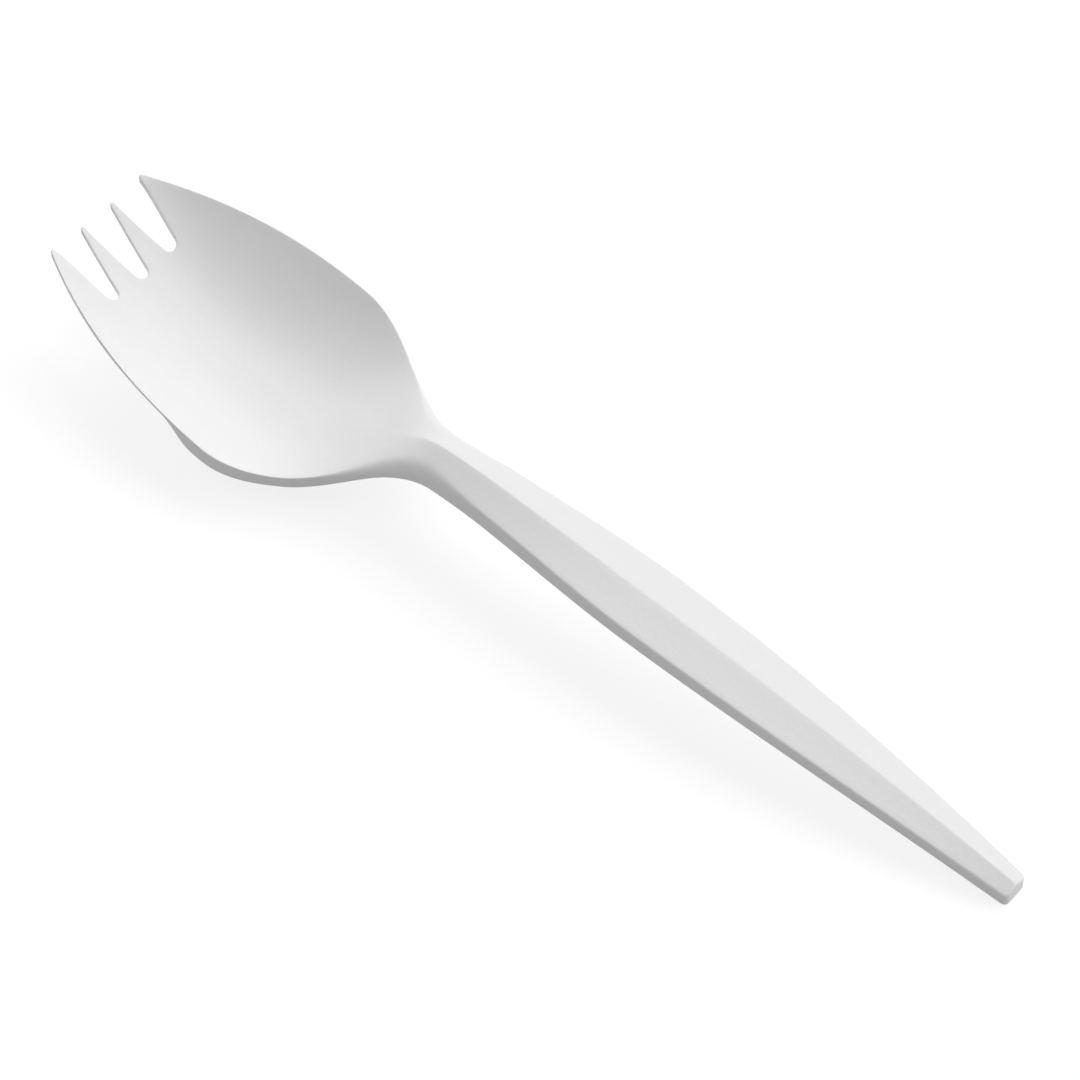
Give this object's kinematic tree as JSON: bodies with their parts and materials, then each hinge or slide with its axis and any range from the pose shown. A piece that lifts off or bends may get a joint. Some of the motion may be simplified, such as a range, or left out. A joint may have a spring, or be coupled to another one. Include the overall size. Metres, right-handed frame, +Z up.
{
  "type": "plastic spork",
  "caption": "White disposable plastic spork: a shallow oval bowl with short pointed tines, and an arched, ridged handle that narrows to a blunt end.",
  "frame": {"origin": "bottom centre of the bounding box, on the surface that the spork lies on", "axes": "+X along the spork from the handle's blunt end to the tines, +Y across it, +Z up out of the bowl"},
  "size_m": [0.146, 0.0322, 0.014],
  "materials": {
    "white_plastic": "satin moulded white polypropylene"
  },
  "bodies": {
    "root": {"spork": "white_plastic"}
  },
  "joints": []
}
